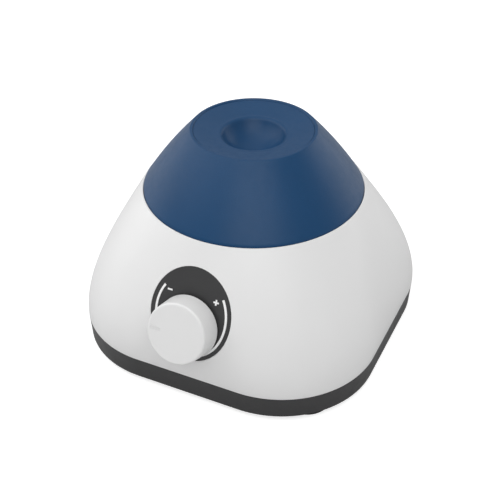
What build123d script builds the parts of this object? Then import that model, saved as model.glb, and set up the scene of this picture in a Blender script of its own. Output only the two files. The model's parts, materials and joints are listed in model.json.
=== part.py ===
from build123d import *
import math
import os

# Small touch-start vortex mixer for test tubes.
# Millimetres. The origin is where the motor axis meets the bench. +Z is up and the dial faces -Y.
# Pressing the cup pushes the motor carriage down on three springs and closes a microswitch.

os.makedirs("parts", exist_ok=True)

# ---------------------------------------------------------------- driving dimensions
BASE_HALF = 50.0  # half the width of the square base
CORNER_R = 32.3  # its plan corner radius
FOOT_LIFT = 1.55  # the feet hold the tray this far off the bench
SHELL_Z = 9.35  # joint between the dark tray and the white shell
SEAM_Z = 51.3  # top edge of the shell, where the boot starts
WALL = 2.2  # shell wall, measured level
FLOOR_T = 2.2  # tray floor
FIT_GAP = 0.05  # gap round a screw or a glued-in piece

ORBIT_R = 2.0  # the cup travels round a circle of this radius
REST_PHASE = 115  # where on that circle the cup stops, in degrees from +X
ECC_X = ORBIT_R * math.cos(math.radians(REST_PHASE))
ECC_Y = ORBIT_R * math.sin(math.radians(REST_PHASE))

BOOT_R = 35.45  # hem of the boot
BOOT_GAP = 0.2  # hem to shell
RIDGE_R = 20.04  # outer edge of the boot's top face
RIDGE_Z = 70.6
LIP_CREST_R = 11.4  # where the cup's lip is highest
LIP_CREST_Z = 68.7
LIP_R = 1.8  # rounding of the lip
BOWL_LEAN = 60  # how steep the cup is where its lip begins, in degrees

FRONT_X = 0.2  # the dial and the knob sit this far right of the centre line
KNOB_TILT = 19.3  # the knob's axis rises this far above level, in degrees
KNOB_R = 10.0
KNOB_FACE_R = 9.6
KNOB_GAP = 0.8  # knob to shell
KNOB_TALL = 7.7
DIAL_TILT = 22.4
DIAL_HALF_W = 13.35
DIAL_HALF_H = 14.9

# ---------------------------------------------------------------- planes and axes
def section_at(x, y):
    """The upright plane through (x, y) in which a turned piece's outline is drawn."""
    return Plane(origin=(x, y, 0), x_dir=(1, 0, 0), z_dir=(0, -1, 0))


def upright_at(x, y):
    """The upright axis through (x, y)."""
    return Axis((x, y, 0), (0, 0, 1))


HEAD_SECTION = section_at(ECC_X, ECC_Y)
HEAD_AXIS = upright_at(ECC_X, ECC_Y)


def tilted_front(y, z, degrees):
    """A plane on the front wall that faces forwards and up by the angle."""
    a = math.radians(degrees)
    return Plane(origin=(FRONT_X, y, z), x_dir=(1, 0, 0), z_dir=(0, -math.cos(a), math.sin(a)))


KNOB = tilted_front(-46.96, 27.6, KNOB_TILT)
DIAL = tilted_front(-45.6, 30.82, DIAL_TILT)
JACK_Z = 19.5
JACK_Y = 47.4
JACK = Plane(origin=(0, JACK_Y, JACK_Z), x_dir=(-1, 0, 0), z_dir=(0, 1, 0))


# ---------------------------------------------------------------- helpers
def turn(outline, plane, axis, mode=Mode.ADD):
    """Revolve an outline of (radius, height) points."""
    with BuildSketch(plane) as profile:
        with BuildLine():
            Polyline(*outline, close=True)
        make_face()
    revolve(profile.sketch, axis=axis, mode=mode)


def disc(plane, radius, height, mode=Mode.ADD):
    """A cylinder that stands on a plane, or hangs below it if height is negative."""
    with BuildSketch(plane) as outline:
        Circle(radius)
    extrude(outline.sketch, amount=height, mode=mode)


def tube(plane, outer, inner, height):
    """A pipe that stands on a plane."""
    with BuildSketch(plane) as outline:
        Circle(outer)
        Circle(inner, mode=Mode.SUBTRACT)
    extrude(outline.sketch, amount=height)


def discs(places, z, radius, height, mode=Mode.ADD):
    """The same upright cylinder at each (x, y) place."""
    with BuildSketch(Plane.XY.offset(z)) as outline:
        with Locations(*places):
            Circle(radius)
    extrude(outline.sketch, amount=height, mode=mode)


def block(x, y, z, size_x, size_y, size_z, mode=Mode.ADD):
    """A box centred on (x, y) that stands on height z."""
    with BuildSketch(Plane.XY.offset(z)) as outline:
        with Locations((x, y)):
            Rectangle(size_x, size_y)
    extrude(outline.sketch, amount=size_z, mode=mode)


def cross_slots(places, z, arm, width, depth):
    """Cut a cross recess downwards from height z at each place."""
    with BuildSketch(Plane.XY.offset(z)) as outline:
        with Locations(*places):
            Rectangle(arm, width)
            Rectangle(width, arm)
    extrude(outline.sketch, amount=-depth, mode=Mode.SUBTRACT)


def blend3(a, b, c, t):
    """Point on a three-point Bezier curve."""
    return a * (1 - t) ** 2 + 2 * b * t * (1 - t) + c * t**2


def blend4(a, b, c, d, t):
    """Point on a four-point Bezier curve."""
    return a * (1 - t) ** 3 + 3 * b * t * (1 - t) ** 2 + 3 * c * t**2 * (1 - t) + d * t**3


# ---------------------------------------------------------------- shell form
BASE_FLAT = BASE_HALF - CORNER_R  # half the straight run of the base outline
TOP_FLAT = 0.4  # the outline is all but a circle at the seam
SEAM_HALF = 35.95  # half the shell's width at the seam
SHELL_STEPS = 7


def shell_form(inset):
    """The housing's outer form, drawn in level by inset: rounded squares that close to a circle."""
    levels = []
    for step in range(SHELL_STEPS):
        t = step / (SHELL_STEPS - 1)
        half = blend4(BASE_HALF, 51.21, 42.55, SEAM_HALF, t)
        z = blend4(SHELL_Z, 22.9, 38.05, SEAM_Z, t)
        rise = (z - SHELL_Z) / (SEAM_Z - SHELL_Z)
        flat = TOP_FLAT + (BASE_FLAT - TOP_FLAT) * (1 - rise**1.3)
        with BuildSketch(Plane.XY.offset(z)) as level:
            RectangleRounded(2 * (half - inset), 2 * (half - inset), half - inset - flat)
        levels.append(level.sketch)
    loft(levels)


SHELL_FOOT_R = 0.35  # rounding of the shell's bottom edge
SHELL_RIM_R = 0.12  # rounding of its top edge
with BuildPart() as outer_form:
    shell_form(0)
    fillet(outer_form.faces().sort_by(Axis.Z)[0].edges(), SHELL_FOOT_R)
    fillet(outer_form.faces().sort_by(Axis.Z)[-1].edges(), SHELL_RIM_R)
with BuildPart() as cavity_form:
    shell_form(WALL)

# ---------------------------------------------------------------- shared places
FEET = [(x, y) for x in (-34, 34) for y in (-34, 34)]
POST_RING = 26.0
POSTS = [
    (POST_RING * math.cos(math.radians(a)), POST_RING * math.sin(math.radians(a)))
    for a in (0, 120, 240)
]
BOARD_X = -32.0
BOARD_Y = 9.0
BOARD_W = 21.0
BOARD_L = 33.0
BOARD_Z = 11.0
BOARD_T = 1.6
BOARD_TOP = BOARD_Z + BOARD_T
STANDOFFS = [
    (BOARD_X + sx * (BOARD_W / 2 - 2.6), BOARD_Y + sy * (BOARD_L / 2 - 2.6))
    for sx in (-1, 1)
    for sy in (-1, 1)
]
SWITCH_X = 24.0
SWITCH_Y = 14.0
SWITCH_Z = 22.0
SWITCH_W = 6.0
SWITCH_L = 12.8
SWITCH_H = 6.5

# Heights of the drive, from the tray floor upwards.
FLOOR_TOP = FOOT_LIFT + FLOOR_T
MOTOR_Z = 5.7
MOTOR_TOP = 36.5
PLATE_TOP = 39.5
HUB_Z = 40.1
HUB_TOP = 45.1
SEAT_Z = 45.5  # underside of the head bearing
BEARING_T = 5.0

# ---------------------------------------------------------------- base tray
TRAY_INSET = 0.43  # the rim draws in this much towards the bench
RIM_T = 2.6
LIP_T = 1.9
LIP_GAP = 0.3
FOOT_R = 8.0
FOOT_POCKET = 0.8
SCREW_R = 1.45
BOSS_R = 4.5
BOSS_TOP = 6.9
TOWER_R = 4.4
TOWER_TOP = 23.0
POST_R = 2.0
POST_Z = 8.0
with BuildPart() as base_tray:
    with BuildSketch(Plane.XY.offset(FOOT_LIFT)):
        low = BASE_HALF - TRAY_INSET
        RectangleRounded(2 * low, 2 * low, CORNER_R - TRAY_INSET)
    with BuildSketch(Plane.XY.offset(SHELL_Z)):
        RectangleRounded(2 * BASE_HALF, 2 * BASE_HALF, CORNER_R)
    loft()
    chamfer(base_tray.faces().sort_by(Axis.Z)[0].edges(), 0.5)
    with BuildSketch(Plane.XY.offset(FLOOR_TOP)):
        room = BASE_HALF - RIM_T
        RectangleRounded(2 * room, 2 * room, CORNER_R - RIM_T)
    extrude(amount=SHELL_Z, mode=Mode.SUBTRACT)
    # Lip that stands up inside the shell's bottom edge.
    with BuildSketch(Plane.XY.offset(FLOOR_TOP)):
        lip = BASE_HALF - WALL - LIP_GAP
        lip_r = CORNER_R - WALL - LIP_GAP
        RectangleRounded(2 * lip, 2 * lip, lip_r)
        RectangleRounded(2 * (lip - LIP_T), 2 * (lip - LIP_T), lip_r - LIP_T, mode=Mode.SUBTRACT)
    extrude(amount=SHELL_Z + 2.0 - FLOOR_TOP)
    discs(FEET, FOOT_LIFT, BOSS_R, BOSS_TOP - FOOT_LIFT)
    discs(POSTS, FOOT_LIFT, TOWER_R, TOWER_TOP - FOOT_LIFT)
    discs(POSTS, POST_Z, POST_R + FIT_GAP, TOWER_TOP, mode=Mode.SUBTRACT)
    discs(STANDOFFS, FOOT_LIFT, 2.3, BOARD_Z - FOOT_LIFT)
    discs(STANDOFFS, BOARD_Z - 5.0, 0.85, 6.0, mode=Mode.SUBTRACT)
    # Stand for the microswitch.
    block(SWITCH_X, SWITCH_Y, FOOT_LIFT, SWITCH_W + 2, SWITCH_L + 2, SWITCH_Z - FOOT_LIFT)
    block(SWITCH_X, SWITCH_Y, FLOOR_TOP, SWITCH_W - 2, SWITCH_L - 3, SWITCH_Z - FLOOR_TOP, mode=Mode.SUBTRACT)
    discs(FEET, FOOT_LIFT, FOOT_R + 0.2, FOOT_POCKET, mode=Mode.SUBTRACT)
    discs(FEET, FOOT_LIFT, SCREW_R + FIT_GAP, BOSS_TOP, mode=Mode.SUBTRACT)
base_tray.part.label = "base_tray"
export_step(base_tray.part, "parts/base_tray.step")

# ---------------------------------------------------------------- upper shell
PILLAR_R = 3.5
BORE_R = BOOT_R + BOOT_GAP
POT_PAD_R = 9.5
POT_PAD_DEPTH = 3.2
BUSHING_R = 3.5
JACK_PAD_R = 7.2
JACK_PAD_DEPTH = 4.0
JACK_BODY_R = 4.0
JACK_FLANGE_R = 5.6
PLATE_DEPTH = 0.5
PLATE_PROUD = 0.05
PLATE_GAP = 0.12
with BuildPart() as pillars:
    discs(FEET, BOSS_TOP, PILLAR_R, SEAM_Z - BOSS_TOP)
    # Pads that give the potentiometer and the inlet a flat seat inside.
    with BuildSketch(KNOB.offset(-POT_PAD_DEPTH)):
        Circle(POT_PAD_R)
    extrude(amount=POT_PAD_DEPTH * 2)
    with BuildSketch(JACK.offset(-JACK_PAD_DEPTH)):
        Circle(JACK_PAD_R)
    extrude(amount=JACK_PAD_DEPTH * 2)
with BuildPart() as below_shell:
    discs(FEET, BOSS_TOP, PILLAR_R, SHELL_Z - BOSS_TOP)
with BuildPart() as pads_inside:
    add(pillars.part)
    add(outer_form.part, mode=Mode.INTERSECT)
with BuildPart() as dial_pocket:
    with BuildSketch(DIAL.offset(-8)):
        Ellipse(DIAL_HALF_W + PLATE_GAP, DIAL_HALF_H + PLATE_GAP)
    extrude(amount=16)
with BuildPart() as pocket_floor:
    shell_form(PLATE_DEPTH + PLATE_GAP)
with BuildPart() as upper_shell:
    add(outer_form.part)
    add(cavity_form.part, mode=Mode.SUBTRACT)
    disc(Plane.XY.offset(46.0), BORE_R, 10, mode=Mode.SUBTRACT)
    add(pads_inside.part)
    add(below_shell.part)
    discs(FEET, 0, SCREW_R + FIT_GAP, 22.0, mode=Mode.SUBTRACT)
    add(dial_pocket.part - pocket_floor.part, mode=Mode.SUBTRACT)
    disc(KNOB.offset(-8), BUSHING_R + FIT_GAP, 16, mode=Mode.SUBTRACT)
    disc(JACK.offset(-8), JACK_BODY_R + FIT_GAP, 16, mode=Mode.SUBTRACT)
    disc(JACK, JACK_FLANGE_R + 0.4, 8, mode=Mode.SUBTRACT)
upper_shell.part.label = "upper_shell"
export_step(upper_shell.part, "parts/upper_shell.step")

# ---------------------------------------------------------------- dial
with BuildPart() as plate_outer:
    shell_form(-PLATE_PROUD)
with BuildPart() as plate_inner:
    shell_form(PLATE_DEPTH)
with BuildPart() as dial_plate:
    with BuildSketch(DIAL.offset(-8)):
        Ellipse(DIAL_HALF_W, DIAL_HALF_H)
    extrude(amount=16)
    add(plate_outer.part, mode=Mode.INTERSECT)
    add(plate_inner.part, mode=Mode.SUBTRACT)
    disc(KNOB.offset(-8), BUSHING_R + FIT_GAP, 16, mode=Mode.SUBTRACT)
dial_plate.part.label = "dial_plate"
export_step(dial_plate.part, "parts/dial_plate.step")

ARC_INSET = 1.7  # from the plate's edge to the middle of the white arc
ARC_W = 0.7
ARC_SHIFT = 0.2  # the arcs sit this far right of the plate's centre
MINUS_LONG = 1.6
PLUS_LONG = 1.75
SIGN_WIDE = 0.5
SIGN_U = 7.75
SIGN_V = 6.1
with BuildPart() as marks_outer:
    shell_form(-PLATE_PROUD - 0.16)
with BuildPart() as marks_inner:
    shell_form(-PLATE_PROUD - 0.02)
with BuildPart() as dial_marks:
    with BuildSketch(DIAL.offset(-8)):
        for edge, mode in ((ARC_W / 2, Mode.ADD), (-ARC_W / 2, Mode.SUBTRACT)):
            with Locations((ARC_SHIFT, 0)):
                Ellipse(DIAL_HALF_W - ARC_INSET + edge, DIAL_HALF_H - ARC_INSET + edge, mode=mode)
        # The gap at the top leaves room above the signs.
        with BuildLine():
            Polyline((0, 0), (-20, 15.2), (-20, 30), (20, 30), (20, 15.2), close=True)
        make_face(mode=Mode.SUBTRACT)
        with Locations((-SIGN_U, SIGN_V)):
            Rectangle(MINUS_LONG, SIGN_WIDE)
        with Locations((SIGN_U, SIGN_V)):
            Rectangle(PLUS_LONG, SIGN_WIDE)
            Rectangle(SIGN_WIDE, PLUS_LONG)
    extrude(amount=16)
    add(marks_outer.part, mode=Mode.INTERSECT)
    add(marks_inner.part, mode=Mode.SUBTRACT)
dial_marks.part.label = "dial_marks"
export_step(dial_marks.part, "parts/dial_marks.step")

# ---------------------------------------------------------------- speed knob
SHAFT_R = 3.0
NUT_W = 0.75  # where the nut starts above the shell
NUT_T = 2.0
RECESS_R = 7.0
RECESS_TOP = 4.2
with BuildPart() as speed_knob:
    with BuildSketch(KNOB.offset(KNOB_GAP)):
        Circle(KNOB_R)
    with BuildSketch(KNOB.offset(KNOB_GAP + KNOB_TALL)):
        Circle(KNOB_FACE_R)
    loft()
    ends = speed_knob.faces().filter_by(GeomType.PLANE).sort_by(Axis.Y)
    fillet(ends[0].edges(), 0.7)
    disc(KNOB.offset(KNOB_GAP), RECESS_R, RECESS_TOP - KNOB_GAP, mode=Mode.SUBTRACT)
    disc(KNOB.offset(RECESS_TOP), SHAFT_R + FIT_GAP, 3.0, mode=Mode.SUBTRACT)
    # Shallow slot for the index line.
    with BuildSketch(KNOB.offset(KNOB_GAP + KNOB_TALL)):
        with Locations((-7.0, 0)):
            SlotOverall(3.4, 0.9, rotation=0)
    extrude(amount=-0.4, mode=Mode.SUBTRACT)
speed_knob.part.label = "speed_knob"
export_step(speed_knob.part, "parts/speed_knob.step")

with BuildPart() as knob_index:
    with BuildSketch(KNOB.offset(KNOB_GAP + KNOB_TALL - 0.39)):
        with Locations((-7.0, 0)):
            SlotOverall(3.3, 0.8)
    extrude(amount=0.44)
knob_index.part.label = "knob_index"
export_step(knob_index.part, "parts/knob_index.step")

POT_R = 8.4
POT_DEPTH = 7.0
LUG_DEPTH = 2.5
LUG_LONG = 4.5
with BuildPart() as potentiometer_shaft:
    disc(KNOB.offset(-POT_PAD_DEPTH - 1.0), SHAFT_R, POT_PAD_DEPTH + 1.0 + 6.9)
potentiometer_shaft.part.label = "potentiometer_shaft"
export_step(potentiometer_shaft.part, "parts/potentiometer_shaft.step")

with BuildPart() as potentiometer_body:
    disc(KNOB.offset(-POT_PAD_DEPTH), POT_R, -POT_DEPTH)
    disc(KNOB.offset(-POT_PAD_DEPTH), BUSHING_R, POT_PAD_DEPTH + 3.0)
    # Three solder lugs on the side towards the board.
    with BuildSketch(KNOB.offset(-POT_PAD_DEPTH - LUG_DEPTH)):
        with Locations((-POT_R - 1, -4), (-POT_R - 1, 0), (-POT_R - 1, 4)):
            Rectangle(LUG_LONG, 1.6)
    extrude(amount=-0.8)
    disc(KNOB.offset(-POT_PAD_DEPTH - 1.1), SHAFT_R + FIT_GAP, 8, mode=Mode.SUBTRACT)
potentiometer_body.part.label = "potentiometer_body"
export_step(potentiometer_body.part, "parts/potentiometer_body.step")

with BuildPart() as potentiometer_nut:
    with BuildSketch(KNOB.offset(NUT_W)):
        RegularPolygon(5.0, 6, major_radius=False)
        Circle(BUSHING_R + 0.02, mode=Mode.SUBTRACT)
    extrude(amount=NUT_T)
    tube(KNOB.offset(0.3), 6.0, BUSHING_R + 0.02, NUT_W - 0.3)
potentiometer_nut.part.label = "potentiometer_nut"
export_step(potentiometer_nut.part, "parts/potentiometer_nut.step")

# ---------------------------------------------------------------- low-voltage inlet
JACK_BORE_R = 2.8
JACK_BORE_DEPTH = 9.4
JACK_DEPTH = 11.5
TAB_REACH = 2.0
TAB_HOLD = 1.7  # how far the sleeve's tab goes into the housing
SLEEVE_TAB_X = -2.4
PIN_R = 1.0
PIN_LONG = 9.0
PIN_TAIL_R = 0.8
with BuildPart() as dc_jack_housing:
    disc(JACK, JACK_FLANGE_R, 1.0)
    disc(JACK, JACK_BODY_R, -JACK_DEPTH)
    disc(JACK.offset(1.0), JACK_BORE_R, -1.0 - JACK_BORE_DEPTH, mode=Mode.SUBTRACT)
    disc(JACK, PIN_TAIL_R + 0.02, -JACK_DEPTH, mode=Mode.SUBTRACT)
    with BuildSketch(JACK.offset(-JACK_DEPTH)):
        with Locations((SLEEVE_TAB_X, 0)):
            Rectangle(0.7, 2.3)
    extrude(amount=TAB_HOLD + 0.1, mode=Mode.SUBTRACT)
    chamfer(dc_jack_housing.faces().sort_by(Axis.Y)[-1].edges().sort_by(SortBy.LENGTH)[0], 0.4)
dc_jack_housing.part.label = "dc_jack_housing"
export_step(dc_jack_housing.part, "parts/dc_jack_housing.step")

with BuildPart() as dc_jack_contacts:
    disc(JACK, PIN_R, -PIN_LONG)
    disc(JACK, PIN_TAIL_R, -JACK_DEPTH - TAB_REACH)
    with BuildSketch(JACK.offset(-JACK_DEPTH - TAB_REACH)):
        with Locations((SLEEVE_TAB_X, 0)):
            Rectangle(0.6, 2.2)
    extrude(amount=TAB_REACH + TAB_HOLD)
dc_jack_contacts.part.label = "dc_jack_contacts"
export_step(dc_jack_contacts.part, "parts/dc_jack_contacts.step")

with BuildPart() as dc_jack_nut:
    with BuildSketch(JACK.offset(-JACK_PAD_DEPTH)):
        RegularPolygon(5.5, 6, major_radius=False)
        Circle(JACK_BODY_R + 0.02, mode=Mode.SUBTRACT)
    extrude(amount=-2.2)
dc_jack_nut.part.label = "dc_jack_nut"
export_step(dc_jack_nut.part, "parts/dc_jack_nut.step")

# ---------------------------------------------------------------- feet, screws and ballast
with BuildPart() as rubber_feet:
    discs(FEET, 0, FOOT_R, FOOT_LIFT + FOOT_POCKET)
    chamfer(rubber_feet.faces().group_by(Axis.Z)[0].edges(), 0.5)
    discs(FEET, 0, 3.2, FOOT_LIFT, mode=Mode.SUBTRACT)
    discs(FEET, 0, SCREW_R + FIT_GAP, 5, mode=Mode.SUBTRACT)
rubber_feet.part.label = "rubber_feet"
export_step(rubber_feet.part, "parts/rubber_feet.step")

with BuildPart() as case_screws:
    discs(FEET, 0.4, 2.8, FOOT_LIFT - 0.4)
    discs(FEET, FOOT_LIFT, SCREW_R, 18.0)
    with BuildSketch(Plane.XY.offset(0.4)):
        with Locations(*FEET):
            Rectangle(3.0, 0.7)
            Rectangle(0.7, 3.0)
    extrude(amount=0.8, mode=Mode.SUBTRACT)
case_screws.part.label = "case_screws"
export_step(case_screws.part, "parts/case_screws.step")

BALLAST_HALF = 42.0
with BuildPart() as ballast_plate:
    with BuildSketch(Plane.XY.offset(FLOOR_TOP)):
        RectangleRounded(2 * BALLAST_HALF, 2 * BALLAST_HALF, 24)
        Circle(16.5, mode=Mode.SUBTRACT)
        with Locations(*FEET):
            Circle(BOSS_R + 0.3, mode=Mode.SUBTRACT)
        with Locations(*POSTS):
            Circle(TOWER_R + 0.3, mode=Mode.SUBTRACT)
        with Locations(*STANDOFFS):
            Circle(2.6, mode=Mode.SUBTRACT)
        with Locations((SWITCH_X, SWITCH_Y)):
            Rectangle(SWITCH_W + 2.6, SWITCH_L + 2.6, mode=Mode.SUBTRACT)
    extrude(amount=2.6)
ballast_plate.part.label = "ballast_plate"
export_step(ballast_plate.part, "parts/ballast_plate.step")

# ---------------------------------------------------------------- spring posts
SPRING_R = 3.1
SPRING_WIRE = 0.35
BUSH_FLANGE_Z = 35.7
with BuildPart() as guide_posts:
    discs(POSTS, POST_Z, POST_R, PLATE_TOP + 0.1 - POST_Z)
    discs(POSTS, 30.0, 1.0, 20.0, mode=Mode.SUBTRACT)
guide_posts.part.label = "guide_posts"
export_step(guide_posts.part, "parts/guide_posts.step")

with BuildPart() as post_washers:
    discs(POSTS, PLATE_TOP + 0.1, 4.6, 0.6)
    discs(POSTS, PLATE_TOP, 1.05, 2.0, mode=Mode.SUBTRACT)
post_washers.part.label = "post_washers"
export_step(post_washers.part, "parts/post_washers.step")

with BuildPart() as post_screws:
    discs(POSTS, PLATE_TOP + 0.7, 2.2, 1.5)
    discs(POSTS, 32.0, 0.95, PLATE_TOP + 0.7 - 32.0)
    cross_slots(POSTS, PLATE_TOP + 2.2, 2.4, 0.5, 0.8)
post_screws.part.label = "post_screws"
export_step(post_screws.part, "parts/post_screws.step")

spring_low = TOWER_TOP + SPRING_WIRE + 0.05
spring_tall = BUSH_FLANGE_Z - TOWER_TOP - 2 * SPRING_WIRE - 0.1
with BuildPart() as one_spring:
    with BuildLine():
        coil = Helix(pitch=spring_tall / 6, height=spring_tall, radius=SPRING_R, center=(0, 0, spring_low))
    with BuildSketch(Plane(origin=coil @ 0, z_dir=coil % 0)):
        Circle(SPRING_WIRE)
    sweep(path=coil, is_frenet=True)
with BuildPart() as press_springs:
    with Locations(*[(x, y, 0) for x, y in POSTS]):
        add(one_spring.part)
press_springs.part.label = "press_springs"
export_step(press_springs.part, "parts/press_springs.step")

# ---------------------------------------------------------------- motor carriage
FRAME_R = 33.0
FRAME_WALL = 2.0
FRAME_WALL_TOP = 50.0
LEDGE_Z = 44.4
LEDGE_T = 1.0
BUSH_R = 3.4
PEG_Y = 19.0
PEG_TIP = 31.0
MOTOR_SCREWS = [(-8, 0), (8, 0)]
with BuildPart() as head_frame:
    disc(Plane.XY.offset(MOTOR_TOP), FRAME_R, PLATE_TOP - MOTOR_TOP)
    tube(Plane.XY.offset(PLATE_TOP), FRAME_R, FRAME_R - FRAME_WALL, FRAME_WALL_TOP - PLATE_TOP)
    tube(Plane.XY.offset(LEDGE_Z), BOOT_R - 0.1, FRAME_R - FRAME_WALL, LEDGE_T)
    disc(Plane.XY.offset(MOTOR_TOP), 4.2, PLATE_TOP - MOTOR_TOP, mode=Mode.SUBTRACT)
    discs(POSTS, MOTOR_TOP, BUSH_R + 0.02, PLATE_TOP - MOTOR_TOP, mode=Mode.SUBTRACT)
    discs(MOTOR_SCREWS, MOTOR_TOP, 1.25, 3.0, mode=Mode.SUBTRACT)
    for x, y in MOTOR_SCREWS:
        rim = [(0, 38.0), (1.25, 38.0), (2.35, 39.3), (2.35, 39.6), (0, 39.6)]
        turn(rim, section_at(x, y), upright_at(x, y), Mode.SUBTRACT)
    # Peg that presses the microswitch lever.
    disc(Plane(origin=(SWITCH_X, PEG_Y, PEG_TIP)), 1.5, MOTOR_TOP - PEG_TIP)
    fillet(head_frame.faces().sort_by(Axis.Z)[0].edges(), 0.6)
head_frame.part.label = "head_frame"
export_step(head_frame.part, "parts/head_frame.step")

with BuildPart() as guide_bushes:
    discs(POSTS, BUSH_FLANGE_Z, 4.4, MOTOR_TOP - BUSH_FLANGE_Z)
    discs(POSTS, MOTOR_TOP, BUSH_R, PLATE_TOP - MOTOR_TOP)
    discs(POSTS, BUSH_FLANGE_Z, POST_R + 0.06, 6, mode=Mode.SUBTRACT)
guide_bushes.part.label = "guide_bushes"
export_step(guide_bushes.part, "parts/guide_bushes.step")

CAN_R = 12.2
CAN_INNER = 11.5
CAN_Z = 9.2
SPINDLE_R = 1.15
with BuildPart() as motor_can:
    disc(Plane.XY.offset(CAN_Z), CAN_R, MOTOR_TOP - CAN_Z)
    disc(Plane.XY.offset(CAN_Z), CAN_INNER, MOTOR_TOP - CAN_Z - 1.0, mode=Mode.SUBTRACT)
    disc(Plane.XY.offset(MOTOR_TOP - 2), 3.02, 4, mode=Mode.SUBTRACT)
    discs(MOTOR_SCREWS, MOTOR_TOP - 2, 1.25, 4, mode=Mode.SUBTRACT)
motor_can.part.label = "motor_can"
export_step(motor_can.part, "parts/motor_can.step")

with BuildPart() as motor_end_cap:
    disc(Plane.XY.offset(MOTOR_Z), CAN_R, CAN_Z - MOTOR_Z)
    disc(Plane.XY.offset(CAN_Z), CAN_INNER - 0.05, 1.2)
    disc(Plane.XY.offset(CAN_Z - 0.2), 9.0, 2.0, mode=Mode.SUBTRACT)
    disc(Plane.XY.offset(MOTOR_Z + 0.6), SPINDLE_R + 0.04, 5, mode=Mode.SUBTRACT)
    for side in (-1, 1):
        block(side * 3.0, 0, CAN_Z - 1.2, 0.6, 3.1, 2, mode=Mode.SUBTRACT)
        block(-CAN_R + 1, side * 4.0, 7.2, 5, 2.6, 0.6, mode=Mode.SUBTRACT)
motor_end_cap.part.label = "motor_end_cap"
export_step(motor_end_cap.part, "parts/motor_end_cap.step")

with BuildPart() as motor_bush:
    tube(Plane.XY.offset(34.0), 3.0, SPINDLE_R + 0.04, 4.0)
motor_bush.part.label = "motor_bush"
export_step(motor_bush.part, "parts/motor_bush.step")

with BuildPart() as motor_magnets:
    with BuildSketch(Plane.XY.offset(13)):
        Circle(CAN_INNER - 0.05)
        Circle(9.2, mode=Mode.SUBTRACT)
        Rectangle(8.0, 30, mode=Mode.SUBTRACT)
    extrude(amount=20)
motor_magnets.part.label = "motor_magnets"
export_step(motor_magnets.part, "parts/motor_magnets.step")

with BuildPart() as motor_brushes:
    for side in (-1, 1):
        block(side * 3.0, 0, CAN_Z - 1.15, 0.5, 3.0, 5.0)
motor_brushes.part.label = "motor_brushes"
export_step(motor_brushes.part, "parts/motor_brushes.step")

TAB_Y = 4.0
TAB_X = -14.6
with BuildPart() as motor_terminals:
    for side in (-1, 1):
        block(-13.0, side * TAB_Y, 7.25, 4.4, 2.4, 0.5)
motor_terminals.part.label = "motor_terminals"
export_step(motor_terminals.part, "parts/motor_terminals.step")

with BuildPart() as motor_screws:
    for x, y in MOTOR_SCREWS:
        screw = [(0, 34.8), (1.2, 34.8), (1.2, 38.05), (2.25, 39.25), (2.25, 39.45), (0, 39.45)]
        turn(screw, section_at(x, y), upright_at(x, y))
    cross_slots(MOTOR_SCREWS, 39.45, 2.2, 0.5, 0.7)
motor_screws.part.label = "motor_screws"
export_step(motor_screws.part, "parts/motor_screws.step")

# ---------------------------------------------------------------- boot
HEM_Z = LEDGE_Z + LEDGE_T
HEM_TOP = 51.8
HEM_INNER = FRAME_R + 0.1
BOOT_T = 2.6  # boot wall, measured level
SKIRT_END = 0.88  # share of the way from hem to ridge where the skirt meets the cup pad
SKIRT_STEPS = 5


def boot_level(t):
    """Radius and height of the boot's outer face, t of the way from hem to ridge."""
    return blend3(BOOT_R, 28.73, RIDGE_R, t), blend3(HEM_TOP, 61.88, RIDGE_Z, t)


def boot_form(inset):
    """The cone of the boot, leaning over from the motor axis to the cup's axis."""
    levels = []
    for step in range(SKIRT_STEPS):
        t = SKIRT_END * step / (SKIRT_STEPS - 1)
        radius, z = boot_level(t)
        with BuildSketch(Plane.XY.offset(z)) as level:
            with Locations((ECC_X * t, ECC_Y * t)):
                Circle(radius - inset)
        levels.append(level.sketch)
    loft(levels)


with BuildPart() as boot_room:
    boot_form(BOOT_T)
BAND_Z = 47.0
BAND_T = 2.0
BAND_DEPTH = 0.6
with BuildPart() as boot_skirt:
    boot_form(0)
    disc(Plane.XY.offset(HEM_Z), BOOT_R, HEM_TOP - HEM_Z)
    disc(Plane.XY.offset(HEM_Z), HEM_INNER, HEM_TOP - 0.6 - HEM_Z, mode=Mode.SUBTRACT)
    disc(Plane.XY.offset(HEM_Z), BOOT_R - BOOT_T, HEM_TOP - HEM_Z, mode=Mode.SUBTRACT)
    add(boot_room.part, mode=Mode.SUBTRACT)
    with BuildSketch(Plane.XY.offset(BAND_Z)):
        Circle(BOOT_R + 1)
        Circle(BOOT_R - BAND_DEPTH, mode=Mode.SUBTRACT)
    extrude(amount=BAND_T, mode=Mode.SUBTRACT)
boot_skirt.part.label = "boot_skirt"
export_step(boot_skirt.part, "parts/boot_skirt.step")

with BuildPart() as boot_clamp_ring:
    tube(Plane.XY.offset(BAND_Z + 0.05), BOOT_R - 0.1, BOOT_R - BAND_DEPTH + 0.05, BAND_T - 0.1)
boot_clamp_ring.part.label = "boot_clamp_ring"
export_step(boot_clamp_ring.part, "parts/boot_clamp_ring.step")

# ---------------------------------------------------------------- rotor
with BuildPart() as motor_shaft:
    disc(Plane.XY.offset(MOTOR_Z + 0.8), SPINDLE_R, HUB_TOP - 0.8 - MOTOR_Z - 0.8)
motor_shaft.part.label = "motor_shaft"
export_step(motor_shaft.part, "parts/motor_shaft.step")

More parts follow.
